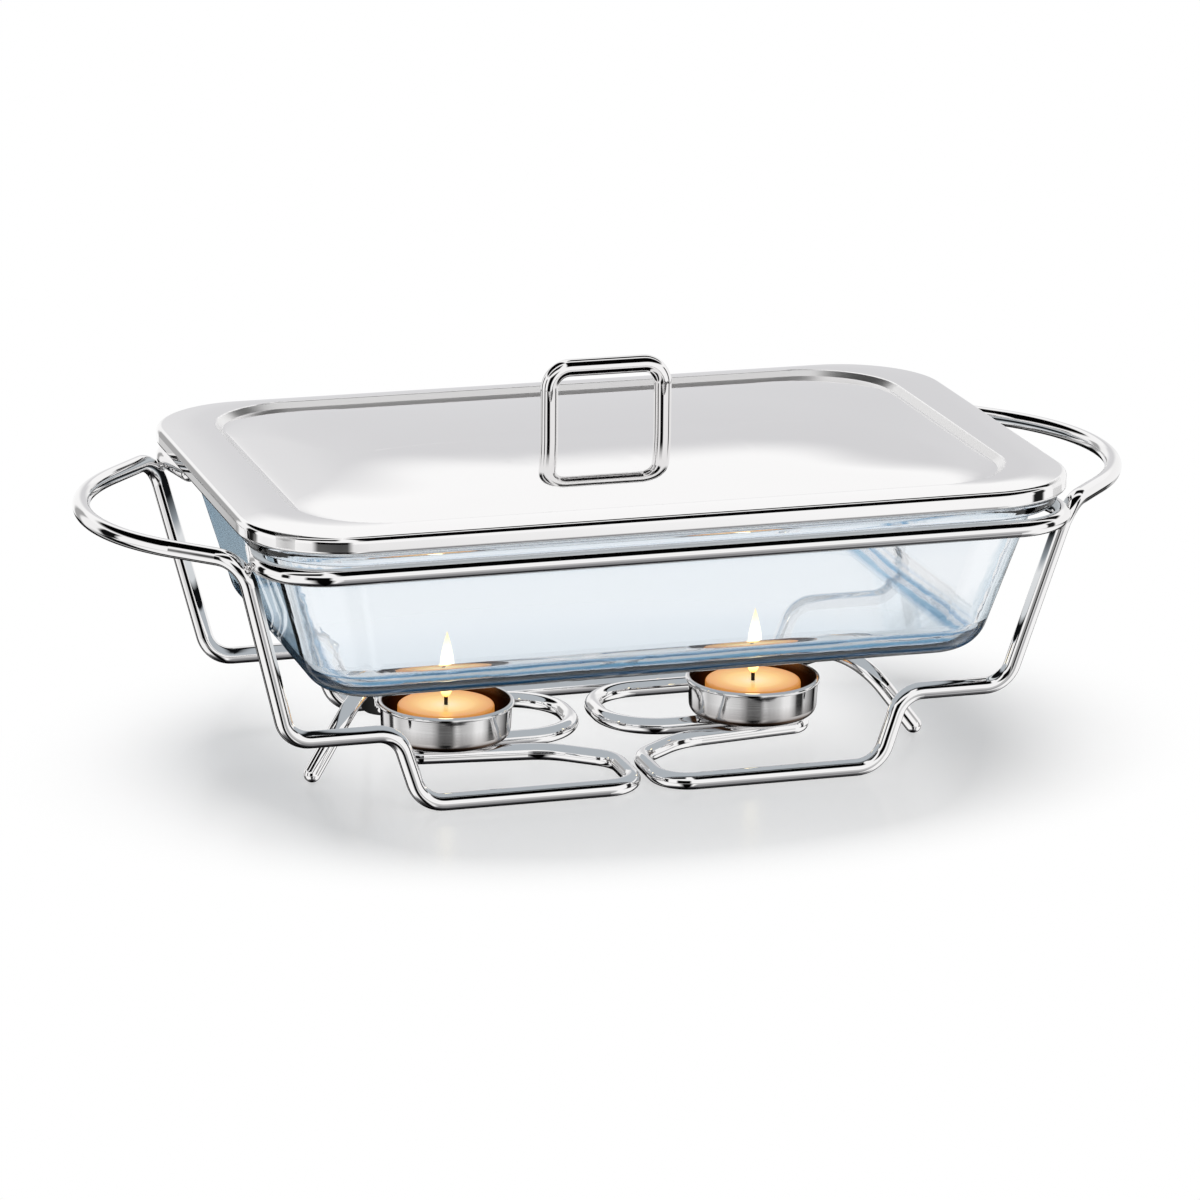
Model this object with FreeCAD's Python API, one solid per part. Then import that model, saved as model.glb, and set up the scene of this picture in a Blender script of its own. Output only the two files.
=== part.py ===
import FreeCAD, Part
import math
import os

# Food warmer: a bent wire rack on which a glass oven dish hangs by its rim, over two candle cups.
# A pressed lid with a bent rod handle closes the dish. Millimetres, +X right, +Y back, +Z up,
# origin on the table under the centre of the rack.

Vector = FreeCAD.Vector
UP = Vector(0, 0, 1)
SIDES = {"left": -1, "right": 1}

# Gaps between pieces.
weld_gap = 0.1          # between two pieces that a weld spot holds
rest_gap = 0.3          # between a piece that lifts off and what it rests on
fit_gap = 0.05          # round a screw in its thread and a wick in its wax

# Glass dish. The walls lean out from the base to the mouth.
mouth_half_length = 148.6
mouth_half_width = 97.4
mouth_corner_r = 30.0
flange_overhang = 8.6
flange_thickness = 4.5
flange_edge_r = 1.8
dish_depth = 60.0       # from the base to the underside of the flange
base_corner_r = 24.0
wall_lean = 16.0        # degrees from upright
glass_wall = 4.5
glass_base = 6.5
base_edge_r = 15.0
lip_edge_r = 1.5

# Rack wire, and the two rails that carry the rim of the dish. Each rail runs along one long side
# and round both corners, and its ends curl in under the rim.
wire_r = 3.3
rail_gap = 3.6          # between the glass under the rim and the rail
rail_z = 104.9
rail_corner_r = 25.0
rail_curl = 10.0        # degrees that the corner turns past a right angle
rail_tail = 20.0

# Handle loops at both ends: one wide arc, straight roots, and a bend down into each leg.
loop_projection = 48.1  # tip of the loop beyond the rails
loop_lift = 1.1         # loop above the rails
loop_arc_beyond = 0.7   # radius of the arc over half the straight run of the rack's end
loop_root_r = 11.0
loop_root_angle = -4.0  # place of the root round the corner of the rail, degrees
loop_root_set_in = 1.1  # the bend is open, so its corner comes this much nearer than the wire does
leg_drop = 24.0         # from the corner of the root bend to the weld in the leg

# Stand wires: leg, shelf, S-bend down to the table.
stand_inset = 38.8      # stand inside the long sides of the rails
shelf_inset = 13.8      # foot of the leg inside the ends of the rails
front_shelf_z = 32.0
rear_shelf_z = 27.0
shelf_length = 42.0
drop_run = 9.2
shelf_bend_r = 11.0
table_bend_r = 12.0

# Candle cups.
cup_x = 62.5
cup_y = 4.0
cup_base_r = 25.0
cup_rim_r = 25.7
cup_height = 14.8
cup_wall = 0.7
cup_corner_r = 4.0
cup_bead_r = 0.9

# Serpentine on the table: front turn, slanting arm, hairpin under the cup, rear turn.
front_turn_x = 4.9
front_turn_r = 12.5
front_turn_depth = 33.5
slant_r = 14.0
slant_run = 21.5
slant_rise = 17.5
slant_end_r = 30.0
hairpin_past_cup = 17.5
hairpin_r = 5.9
hairpin_centre = 5.6    # middle of the hairpin in front of the middle of the cup
rear_turn_x = 6.4
rear_turn_r = 23.0
rear_arm_inset = 9.5    # rear arm in front of the rear run

# Tail of the stand wire: it leaves the rear arm, climbs round the cup and comes down to a foot.
# Places are beyond the rim of the cup, and behind or in front of its middle.
tail_root_x = -8.2
tail_root_r = 18.0
tail_knee_x = -0.2
tail_knee_y = 22.0
tail_knee_height = 16.2
tail_knee_r = 55.0
tail_crest_x = 9.8
tail_crest_y = -12.0
tail_crest_height = 32.2
tail_crest_r = 24.0
foot_x = 33.3
foot_y = -23.0

# Candles.
wax_r = 18.8
wax_height = 12.3
wax_edge_r = 1.2
pool_r = 12.0
pool_depth = 0.6
wick_r = 0.75
wick_stand = 5.0
holder_r = 6.5
holder_plate = 0.4
holder_collar_r = 1.7
holder_collar = 3.0

# Lid, pressed from sheet: rolled edge, skirt, flat border, sunk ring and crowned panel.
lid_overlap_end = 3.8
lid_overlap_side = 0.5
lid_corner_extra = 1.4
sheet = 0.8
skirt_height = 6.6
skirt_edge_r = 2.4
border_end = 21.3
border_side = 12.7
border_rise = 1.3
crest_corner_r = 36.0
ring_width = 3.0
ring_depth = 2.0
ring_floor = 0.8        # between the foot of the ring and the crowned panel
crest_edge_r = 1.2
panel_crown = 5.9
pad_half_width = 6.5    # flat in the middle of the panel, under the handle
crown_corner_r = 80.0   # the corners of the panel open out to this towards its middle
crown_straight = 0.5    # least half length of a straight side up there
bead_r = 1.3

# Lid handle, its screws and washers.
rod_r = 3.4
handle_span = 45.4
handle_height = 26.2    # lid to the middle of the bar
handle_bend_r = 8.0
screw_r = 1.9
screw_depth = 11.0
screw_head_r = 3.8
screw_head_height = 2.3
washer_r = 5.0
washer_thickness = 0.8
screw_clearance = 0.3

# Places that follow from what rests on what.
rail_half_length = mouth_half_length + rail_gap + wire_r
rail_half_width = mouth_half_width + rail_gap + wire_r
rail_centre_x = rail_half_length - rail_corner_r
rail_centre_y = rail_half_width - rail_corner_r
loop_z = rail_z + loop_lift
loop_tip_x = rail_half_length + loop_projection
loop_arc_r = rail_centre_y + loop_arc_beyond
stand_half_width = rail_half_width - stand_inset
shelf_outer_x = rail_half_length - shelf_inset
shelf_inner_x = shelf_outer_x - shelf_length
table_run_x = shelf_inner_x - drop_run
table_z = wire_r
cup_base_z = table_z + wire_r + weld_gap
wax_base_z = cup_base_z + cup_wall + rest_gap
flange_z = rail_z + wire_r + rest_gap
dish_top_z = flange_z + flange_thickness
dish_base_z = flange_z - dish_depth
lid_base_z = dish_top_z + rest_gap
lid_half_length = mouth_half_length + flange_overhang + lid_overlap_end
lid_half_width = mouth_half_width + flange_overhang + lid_overlap_side
lid_corner_r = mouth_corner_r + flange_overhang + lid_corner_extra
skirt_top_z = lid_base_z + skirt_height
crest_half_length = lid_half_length - border_end
crest_half_width = lid_half_width - border_side
crest_z = skirt_top_z + border_rise
panel_edge_z = crest_z - ring_depth
panel_z = panel_edge_z + panel_crown


def rounded_rectangle(half_length, half_width, corner_r, z):
    """Closed outline round the Z axis: four lines joined by quarter circles."""
    arcs = []
    for quarter, (side_x, side_y) in enumerate(((1, -1), (1, 1), (-1, 1), (-1, -1))):
        centre = Vector(side_x * (half_length - corner_r), side_y * (half_width - corner_r), z)
        angles = [math.radians(90 * quarter + turn) for turn in (-90, -45, 0)]
        points = [centre + Vector(math.cos(a), math.sin(a), 0) * corner_r for a in angles]
        arcs.append(Part.Arc(*points).toShape())
    edges = []
    for arc, following in zip(arcs, arcs[1:] + arcs[:1]):
        edges.append(arc)
        edges.append(Part.makeLine(arc.lastVertex().Point, following.firstVertex().Point))
    return Part.Wire(edges)


def prism(outline, height):
    return Part.Face(outline).extrude(UP * height)


def edges_at(shape, z, smallest_half_length=0.0, largest_half_length=1000.0):
    """Edges of the outline of a shape at one height, between two distances from the YZ plane."""
    found = []
    for edge in shape.Edges:
        box = edge.BoundBox
        reach = max(abs(box.XMin), abs(box.XMax))
        if abs(box.ZMin - z) < 0.01 and abs(box.ZMax - z) < 0.01:
            if smallest_half_length <= reach <= largest_half_length:
                found.append(edge)
    return found


def bent_path(corners):
    """Wire through corners (point, bend radius): straight runs joined by tangent arcs."""
    edges = []
    start = corners[0][0]
    for before, here, after in zip(corners, corners[1:], corners[2:]):
        point, radius = here
        arriving = (point - before[0]).normalize()
        leaving = (after[0] - point).normalize()
        turn = arriving.getAngle(leaving)
        setback = radius * math.tan(turn / 2)
        bend_start = point - arriving * setback
        bend_end = point + leaving * setback
        inward = (leaving - arriving).normalize()
        middle = point + inward * (radius / math.cos(turn / 2) - radius)
        edges.append(Part.LineSegment(start, bend_start).toShape())
        edges.append(Part.Arc(bend_start, middle, bend_end).toShape())
        start = bend_end
    edges.append(Part.LineSegment(start, corners[-1][0]).toShape())
    return Part.Wire(edges)


def round_bar(path, radius):
    """Solid bar of round section along a path."""
    start = path.Edges[0].valueAt(path.Edges[0].FirstParameter)
    direction = path.Edges[0].tangentAt(path.Edges[0].FirstParameter)
    section = Part.Face(Part.Wire([Part.makeCircle(radius, start, direction)]))
    return path.makePipe(section)


def mirrored(shape, side):
    """The shape itself on the right, its mirror image on the left."""
    if side > 0:
        return shape
    return shape.mirror(Vector(0, 0, 0), Vector(1, 0, 0))


def rail():
    """Rail along the rear side, with domed ends."""
    curl = math.radians(rail_curl)
    corner_x = rail_centre_x + rail_corner_r * (1 + math.sin(curl)) / math.cos(curl)
    curl_start = Vector(
        rail_centre_x + rail_corner_r * math.cos(curl), rail_centre_y - rail_corner_r * math.sin(curl), rail_z
    )
    end = curl_start + Vector(-math.sin(curl), -math.cos(curl), 0) * rail_tail
    corners = [
        (end, 0),
        (Vector(corner_x, rail_half_width, rail_z), rail_corner_r),
        (Vector(-corner_x, rail_half_width, rail_z), rail_corner_r),
        (Vector(-end.x, end.y, rail_z), 0),
    ]
    bar = round_bar(bent_path(corners), wire_r)
    tips = [Part.makeSphere(wire_r, corners[0][0]), Part.makeSphere(wire_r, corners[-1][0])]
    return bar.fuse(tips).removeSplitter()


def loop_root_corner(side_y):
    """Corner of the bend from a handle loop down into its leg, just outside the corner of the rail."""
    angle = math.radians(loop_root_angle)
    distance = rail_corner_r + 2 * wire_r + weld_gap - loop_root_set_in
    x = rail_centre_x + distance * math.cos(angle)
    y = rail_centre_y + distance * math.sin(angle)
    return Vector(x, side_y * y, loop_z)


def shelf_corner(side_y):
    shelf_z = front_shelf_z if side_y < 0 else rear_shelf_z
    return Vector(shelf_outer_x, side_y * stand_half_width, shelf_z)


def leg_weld(side_y):
    """Where the handle loop meets the stand wire, part way down the leg."""
    corner = loop_root_corner(side_y)
    return corner + (shelf_corner(side_y) - corner).normalize() * leg_drop


def handle_loop():
    """Wide level arc with a straight root and a bend down at each end."""
    centre_x = loop_tip_x - loop_arc_r
    root = loop_root_corner(1)
    distance = math.hypot(root.x - centre_x, root.y)
    arc_end = math.atan2(root.y, root.x - centre_x) - math.acos(loop_arc_r / distance)

    def on_arc(angle):
        return Vector(centre_x + loop_arc_r * math.cos(angle), loop_arc_r * math.sin(angle), loop_z)

    def root_edges(side):
        corners = [
            (leg_weld(side), 0),
            (loop_root_corner(side), loop_root_r),
            (on_arc(side * arc_end), 0),
        ]
        return bent_path(corners).Edges

    arc = Part.Arc(on_arc(-arc_end), on_arc(0), on_arc(arc_end)).toShape()
    return round_bar(Part.Wire(root_edges(-1) + [arc] + root_edges(1)[::-1]), wire_r)


def leg_corners(side_y):
    """Leg, shelf and S-bend down to the start of the run on the table."""
    outer = shelf_corner(side_y)
    return [
        (leg_weld(side_y), 0),
        (outer, shelf_bend_r),
        (Vector(shelf_inner_x, outer.y, outer.z), shelf_bend_r),
        (Vector(table_run_x, outer.y, table_z), table_bend_r),
    ]


def front_stand_wire():
    """Front leg, run on the table, two open turns with a hairpin between them, then tail and foot."""
    turn_back_y = -stand_half_width + front_turn_depth
    slant_end_x = front_turn_x + slant_run
    slant_end_y = turn_back_y + slant_rise
    hairpin_x = cup_x + hairpin_past_cup
    hairpin_front_y = cup_y - hairpin_centre - hairpin_r
    hairpin_back_y = cup_y - hairpin_centre + hairpin_r
    rear_arm_y = stand_half_width - rear_arm_inset
    rim_x = cup_x + cup_rim_r
    corners = leg_corners(-1) + [
        (Vector(front_turn_x, -stand_half_width, table_z), front_turn_r),
        (Vector(front_turn_x, turn_back_y, table_z), slant_r),
        (Vector(slant_end_x, slant_end_y, table_z), slant_end_r),
        (Vector(hairpin_x, hairpin_front_y, table_z), hairpin_r - 0.1),
        (Vector(hairpin_x, hairpin_back_y, table_z), hairpin_r - 0.1),
        (Vector(rear_turn_x, hairpin_back_y, table_z), rear_turn_r),
        (Vector(rear_turn_x, rear_arm_y, table_z), rear_turn_r),
        (Vector(rim_x + tail_root_x, rear_arm_y, table_z), tail_root_r),
        (Vector(rim_x + tail_knee_x, cup_y + tail_knee_y, table_z + tail_knee_height), tail_knee_r),
        (Vector(rim_x + tail_crest_x, cup_y + tail_crest_y, table_z + tail_crest_height), tail_crest_r),
        (Vector(rim_x + foot_x, cup_y + foot_y, table_z), 0),
    ]
    tip = Part.makeSphere(wire_r, corners[-1][0])
    return round_bar(bent_path(corners), wire_r).fuse(tip).removeSplitter()


def rear_stand_wire():
    """Both rear legs and the straight run on the table between them."""
    right = leg_corners(1)
    left = [(Vector(-point.x, point.y, point.z), radius) for point, radius in reversed(right)]
    return round_bar(bent_path(right + left), wire_r)


def candle_cup():
    """Drawn cup with a rounded base and a rolled rim."""
    outside = Part.makeCone(cup_base_r, cup_rim_r, cup_height)
    outside = outside.makeFillet(cup_corner_r, edges_at(outside, 0))
    depth = cup_height - cup_wall
    inside = Part.makeCone(cup_base_r - cup_wall, cup_rim_r - cup_wall, depth + cup_wall)
    inside = inside.makeFillet(cup_corner_r - cup_wall, edges_at(inside, 0))
    inside.translate(UP * cup_wall)
    rim = Part.makeTorus(cup_rim_r, cup_bead_r, UP * (cup_height - cup_bead_r))
    cup = outside.cut(inside).fuse(rim.cut(inside)).removeSplitter()
    cup.translate(Vector(cup_x, cup_y, cup_base_z))
    return cup


def candle():
    """Wax, wick and the tin holder under the wick."""
    foot = Part.makeCylinder(holder_r, holder_plate)
    collar = Part.makeCylinder(holder_collar_r, holder_plate + holder_collar)
    wick_bore = Part.makeCylinder(wick_r + fit_gap, wax_height * 2)
    wax = Part.makeCylinder(wax_r, wax_height)
    wax = wax.makeFillet(wax_edge_r, edges_at(wax, wax_height))
    pool_sphere_r = (pool_r ** 2 + pool_depth ** 2) / (2 * pool_depth)
    pool = Part.makeSphere(pool_sphere_r, UP * (wax_height - pool_depth + pool_sphere_r))
    socket = Part.makeCylinder(holder_r + fit_gap, holder_plate + fit_gap)
    throat = Part.makeCylinder(holder_collar_r + fit_gap, holder_plate + holder_collar + fit_gap)
    wax = wax.cut(pool).cut(socket).cut(throat).cut(wick_bore)
    wick_length = wax_height - pool_depth + wick_stand - holder_plate
    wick = Part.makeCylinder(wick_r, wick_length, UP * holder_plate)
    wick = wick.makeFillet(wick_r * 0.6, edges_at(wick, holder_plate + wick_length))
    bore_floor = wick_bore.translated(UP * holder_plate)
    holder = foot.fuse(collar).cut(bore_floor).removeSplitter()
    pieces = {"candle_wax": wax, "candle_wick": wick, "wick_holder": holder}
    for piece in pieces.values():
        piece.translate(Vector(cup_x, cup_y, wax_base_z))
    return pieces


def dish_form(shrink, bottom_z, top_z, edge_r):
    """Block with leaning walls and a rounded bottom edge, smaller by shrink all round."""
    outlines = []
    for z in (bottom_z, top_z):
        below_rim = flange_z - z
        inset = shrink + below_rim * math.tan(math.radians(wall_lean))
        corner_r = mouth_corner_r + (base_corner_r - mouth_corner_r) * below_rim / dish_depth - shrink
        outlines.append(rounded_rectangle(mouth_half_length - inset, mouth_half_width - inset, corner_r, z))
    block = Part.makeLoft(outlines, True, True)
    return block.makeFillet(edge_r, edges_at(block, bottom_z))


def glass_dish():
    outside = dish_form(0, dish_base_z, flange_z + flange_thickness / 2, base_edge_r)
    inside = dish_form(glass_wall, dish_base_z + glass_base, dish_top_z + 1, base_edge_r - glass_wall)
    outline = rounded_rectangle(
        mouth_half_length + flange_overhang,
        mouth_half_width + flange_overhang,
        mouth_corner_r + flange_overhang,
        flange_z,
    )
    flange = prism(outline, flange_thickness)
    flange = flange.makeFillet(flange_edge_r, edges_at(flange, flange_z) + edges_at(flange, dish_top_z))
    dish = outside.fuse(flange).cut(inside).removeSplitter()
    lip = edges_at(dish, dish_top_z, 0, mouth_half_length)
    return dish.makeFillet(lip_edge_r, lip)


def lid_outline(inset, z, shrink):
    """Outline of the lid, inset from its edge evenly all round."""
    inset = inset + shrink
    return rounded_rectangle(lid_half_length - inset, lid_half_width - inset, lid_corner_r - inset, z)


def crest_outline(inset, z, corner_r):
    """Outline on the ring or the panel, inset from the crest evenly all round."""
    return rounded_rectangle(crest_half_length - inset, crest_half_width - inset, corner_r, z)


def border_outline(share, shrink):
    """Outline on the arched border, from the edge of the skirt (0) to the crest (1)."""
    outer_inset = skirt_edge_r + shrink
    half_length = lid_half_length - outer_inset
    half_width = lid_half_width - outer_inset
    corner_r = lid_corner_r - outer_inset
    return rounded_rectangle(
        half_length + (crest_half_length + shrink / 2 - half_length) * share,
        half_width + (crest_half_width + shrink / 2 - half_width) * share,
        corner_r + (crest_corner_r - corner_r) * share,
        skirt_top_z - shrink + border_rise * (1 - (1 - share) ** 2),
    )


def crown_outline(share, shrink):
    """Outline on the crowned panel, from its edge (0) to the pad in the middle (1)."""
    edge_inset = ring_width + ring_floor - shrink / 2
    edge_corner_r = crest_corner_r - edge_inset
    inset = edge_inset + (crest_half_width - pad_half_width - edge_inset) * share
    open_corner_r = edge_corner_r + (crown_corner_r - edge_corner_r) * share
    corner_r = min(open_corner_r, crest_half_width - inset - crown_straight)
    z = panel_edge_z - shrink + panel_crown * (1 - (1 - share) ** 2)
    return crest_outline(inset, z, corner_r)


def lid_form(shrink, base_z):
    """Solid under one face of the sheet: skirt and border, less the ring, plus the crowned panel."""
    skirt_z = skirt_top_z - shrink
    skirt = prism(lid_outline(0, base_z, shrink), skirt_z - base_z)
    skirt = skirt.makeFillet(skirt_edge_r - shrink / 2, edges_at(skirt, skirt_z))
    border = Part.makeLoft([border_outline(share, shrink) for share in (0, 0.35, 0.7, 1)], True, False)
    foot_inset = ring_width - shrink / 2
    ring_foot = crest_outline(foot_inset, panel_edge_z - shrink, crest_corner_r - foot_inset)
    ring = Part.makeLoft([ring_foot, border_outline(1, shrink)], True, True)
    shares = (0, 0.12, 0.25, 0.4, 0.55, 0.7, 0.85, 1)
    panel = Part.makeLoft([crown_outline(share, shrink) for share in shares], True, False)
    form = skirt.fuse(border).cut(ring).fuse(panel).removeSplitter()
    return form.makeFillet(crest_edge_r, edges_at(form, crest_z - shrink))


def lid():
    bead_z = lid_base_z + bead_r
    path = rounded_rectangle(lid_half_length - bead_r, lid_half_width - bead_r, lid_corner_r - bead_r, bead_z)
    start = Vector(lid_half_length - bead_r, 0, bead_z)
    bead = path.makePipeShell([Part.Wire([Part.makeCircle(bead_r, start, Vector(0, 1, 0))])], True, False)
    sheet_metal = lid_form(0, lid_base_z + bead_r).cut(lid_form(sheet, lid_base_z))
    shell = sheet_metal.fuse(bead).removeSplitter()
    for side in SIDES.values():
        place = Vector(side * handle_span / 2, 0, panel_z - 2 * sheet)
        shell = shell.cut(Part.makeCylinder(screw_r + screw_clearance, 3 * sheet, place))
    return shell


def lid_handle():
    half_span = handle_span / 2
    corners = [
        (Vector(-half_span, 0, panel_z), 0),
        (Vector(-half_span, 0, panel_z + handle_height), handle_bend_r),
        (Vector(half_span, 0, panel_z + handle_height), handle_bend_r),
        (Vector(half_span, 0, panel_z), 0),
    ]
    rod = round_bar(bent_path(corners), rod_r)
    for side in SIDES.values():
        bore = Part.makeCylinder(screw_r + fit_gap, screw_depth + fit_gap, Vector(side * half_span, 0, panel_z))
        rod = rod.cut(bore)
    return rod


def lid_fasteners():
    """Screws up into the feet of the handle, each with a washer under the lid."""
    washer_top_z = panel_z - sheet
    head_top_z = washer_top_z - washer_thickness
    screws = []
    washers = []
    for side in SIDES.values():
        centre = Vector(side * handle_span / 2, 0, 0)
        shank_length = panel_z + screw_depth - head_top_z
        shank = Part.makeCylinder(screw_r, shank_length, centre + UP * head_top_z)
        head_z = head_top_z - screw_head_height
        head = Part.makeCylinder(screw_head_r, screw_head_height, centre + UP * head_z)
        head = head.makeFillet(screw_head_height * 0.6, edges_at(head, head_z))
        screws.append(shank.fuse(head).removeSplitter())
        disc = Part.makeCylinder(washer_r, washer_thickness, centre + UP * head_top_z)
        hole = Part.makeCylinder(screw_r + screw_clearance, washer_thickness, centre + UP * head_top_z)
        washers.append(disc.cut(hole))
    return {"lid_handle_screws": Part.makeCompound(screws), "lid_handle_washers": Part.makeCompound(washers)}


rear_rail = rail()
nodes = {
    "rear_rail": rear_rail,
    "front_rail": rear_rail.mirror(Vector(0, 0, 0), Vector(0, 1, 0)),
    "rear_stand_wire": rear_stand_wire(),
    "glass_dish": glass_dish(),
    "lid": lid(),
    "lid_handle": lid_handle(),
}
nodes.update(lid_fasteners())
paired = {
    "handle_loop": handle_loop(),
    "front_stand_wire": front_stand_wire(),
    "candle_cup": candle_cup(),
}
paired.update(candle())
for name, shape in paired.items():
    for side_name, side in SIDES.items():
        nodes[side_name + "_" + name] = mirrored(shape, side)

os.makedirs("parts", exist_ok=True)
for name, shape in nodes.items():
    shape.exportStep("parts/" + name + ".step")
    box = shape.BoundBox
    print(name, len(shape.Solids), shape.isValid(), round(shape.Volume), box)
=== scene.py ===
import bpy
import math
from mathutils import Matrix, Vector


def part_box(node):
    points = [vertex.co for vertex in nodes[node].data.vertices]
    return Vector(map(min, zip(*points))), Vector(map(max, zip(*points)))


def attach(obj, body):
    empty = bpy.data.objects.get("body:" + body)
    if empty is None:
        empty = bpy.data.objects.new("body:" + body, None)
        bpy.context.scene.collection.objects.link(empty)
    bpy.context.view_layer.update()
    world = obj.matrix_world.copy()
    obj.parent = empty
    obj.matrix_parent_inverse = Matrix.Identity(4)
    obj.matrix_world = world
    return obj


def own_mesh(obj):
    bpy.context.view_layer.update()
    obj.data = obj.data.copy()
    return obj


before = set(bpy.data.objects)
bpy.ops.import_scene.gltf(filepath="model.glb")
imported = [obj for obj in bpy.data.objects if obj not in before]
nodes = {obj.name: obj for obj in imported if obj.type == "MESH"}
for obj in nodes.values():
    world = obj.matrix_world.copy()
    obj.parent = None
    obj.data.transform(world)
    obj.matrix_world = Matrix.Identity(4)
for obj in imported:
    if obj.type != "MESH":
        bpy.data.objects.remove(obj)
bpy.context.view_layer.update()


# The view. The photograph looks at the food warmer from the front left and a little above,
# through a long lens. Lengths are in metres and angles in degrees.
view_azimuth = -16.737
view_elevation = 16.0
view_roll = 0.482
view_distance = 2.1271
view_target = Vector((-0.00178, 0.0, 0.05807))
focal_length = 164.65    # on a sensor 36 mm wide
view_reach = 50          # past the far edge of the floor

camera = bpy.data.objects.new("camera", bpy.data.cameras.new("camera"))
bpy.context.scene.collection.objects.link(camera)
camera.data.lens = focal_length
camera.data.clip_end = view_reach
turned = (
    Matrix.Rotation(math.radians(view_azimuth), 4, "Z")
    @ Matrix.Rotation(math.radians(90 - view_elevation), 4, "X")
    @ Matrix.Rotation(math.radians(view_roll), 4, "Z")
)
camera.matrix_world = Matrix.Translation(view_target) @ turned @ Matrix.Translation((0, 0, view_distance))
bpy.context.scene.camera = camera
bpy.context.scene.view_settings.view_transform = "Standard"


# The studio. The camera sees plain white behind the food warmer, as on a product photographer's table.
# Polished metal sees what stands round the table: black bars hung overhead, and black flags on stands
# all round, with white gaps between them. They draw the crisp dark lines on the chrome.
def hex_colour(code):
    """sRGB hex to linear."""
    parts = [int(code[i:i + 2], 16) / 255 for i in (1, 3, 5)]
    return [c / 12.92 if c <= 0.04045 else ((c + 0.055) / 1.055) ** 2.4 for c in parts] + [1.0]


def add(tree, kind, inputs=None, stops=(), **settings):
    """A node with its settings, its ramp's stops, and its inputs: values, hex colours or links."""
    made = tree.nodes.new(kind)
    for name, value in settings.items():
        setattr(made, name, value)
    for name, value in (inputs or {}).items():
        if isinstance(value, bpy.types.NodeSocket):
            tree.links.new(value, made.inputs[name])
        else:
            made.inputs[name].default_value = hex_colour(value) if isinstance(value, str) else value
    if stops:
        ramp = made.color_ramp
        while len(ramp.elements) > 1:
            ramp.elements.remove(ramp.elements[-1])
        ramp.elements[0].position = stops[0][0]
        for place, _ in stops[1:]:
            ramp.elements.new(place)
        for element, (_, code) in zip(ramp.elements, stops):
            element.color = hex_colour(code)
    return made


def at(angle):
    """Where an angle in degrees falls on a ramp that takes a full turn, from -180 to 180."""
    return 0.5 + angle / 360


# A Mix node has sockets for each kind of data. These are the ones for numbers and for colours.
number_a, number_b, number_out = 2, 3, 0
colour_a, colour_b, colour_out = 6, 7, 2

air = bpy.data.worlds.new("studio_air")
bpy.context.scene.world = air
air.use_nodes = True
tree = air.node_tree
tree.nodes.clear()

# Which way a ray leaves. Pitch goes up from the horizon in front and over the top to the back, or
# straight down below the horizon. Heading goes round from the front to the right.
ray = add(tree, "ShaderNodeSeparateXYZ", {0: add(tree, "ShaderNodeTexCoord").outputs["Generated"]})
ahead = add(tree, "ShaderNodeMath", {0: ray.outputs["Y"], 1: -1.0}, operation="MULTIPLY")
over = add(tree, "ShaderNodeMath", {0: ray.outputs["Z"], 1: ahead.outputs[0]}, operation="ARCTAN2")
under = add(tree, "ShaderNodeMath", {0: ray.outputs["Z"]}, operation="ARCSINE")
below = add(tree, "ShaderNodeMath", {0: ray.outputs["Z"], 1: 0.0}, operation="LESS_THAN")
pitch = add(tree, "ShaderNodeMix", {
    "Factor": below.outputs[0], number_a: over.outputs[0], number_b: under.outputs[0],
})
round_to = add(tree, "ShaderNodeMath", {0: ray.outputs["X"], 1: ahead.outputs[0]}, operation="ARCTAN2")
up, heading = (
    add(tree, "ShaderNodeMapRange", {"Value": angle, "From Min": -math.pi, "From Max": math.pi}).outputs["Result"]
    for angle in (pitch.outputs[number_out], round_to.outputs[0])
)

# The dark table edge low down, and the bars overhead. The bars on the right hang further forward than
# those on the left, and the strips straight ahead and straight behind are left open.
table_edge = add(tree, "ShaderNodeValToRGB", {"Fac": up}, stops=[
    (at(-90), "#262628"), (at(-72), "#303032"), (at(-62), "#7e7e80"), (at(-54), "#ffffff"),
])
right_bars = add(tree, "ShaderNodeValToRGB", {"Fac": up}, stops=[
    (at(28), "#ffffff"), (at(32), "#020202"), (at(88), "#020202"), (at(92), "#ffffff"),
    (at(104), "#ffffff"), (at(109), "#0a0a0a"), (at(133), "#0a0a0a"), (at(137), "#ffffff"),
])
left_bars = add(tree, "ShaderNodeValToRGB", {"Fac": up}, stops=[
    (at(43), "#ffffff"), (at(47), "#0a0a0a"), (at(71), "#0a0a0a"), (at(76), "#ffffff"),
    (at(88), "#ffffff"), (at(92), "#020202"), (at(148), "#020202"), (at(152), "#ffffff"),
])
right_part = add(tree, "ShaderNodeValToRGB", {"Fac": heading}, stops=[
    (at(4), "#000000"), (at(10), "#ffffff"), (at(157), "#ffffff"), (at(164), "#000000"),
])
left_part = add(tree, "ShaderNodeValToRGB", {"Fac": heading}, stops=[
    (at(-176), "#000000"), (at(-170), "#ffffff"), (at(-23), "#ffffff"), (at(-16), "#000000"),
])
aloft = add(tree, "ShaderNodeMapRange", {"Value": ray.outputs["Z"], "From Min": 0.42, "From Max": 0.52})
hung = table_edge.outputs["Color"]
for bars, part in ((right_bars, right_part), (left_bars, left_part)):
    where = add(tree, "ShaderNodeMath", {
        0: aloft.outputs["Result"], 1: part.outputs["Color"],
    }, operation="MULTIPLY")
    hung = add(tree, "ShaderNodeMix", {
        "Factor": where.outputs[0], colour_a: hung, colour_b: bars.outputs["Color"],
    }, data_type="RGBA", blend_type="MULTIPLY").outputs[colour_out]

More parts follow.
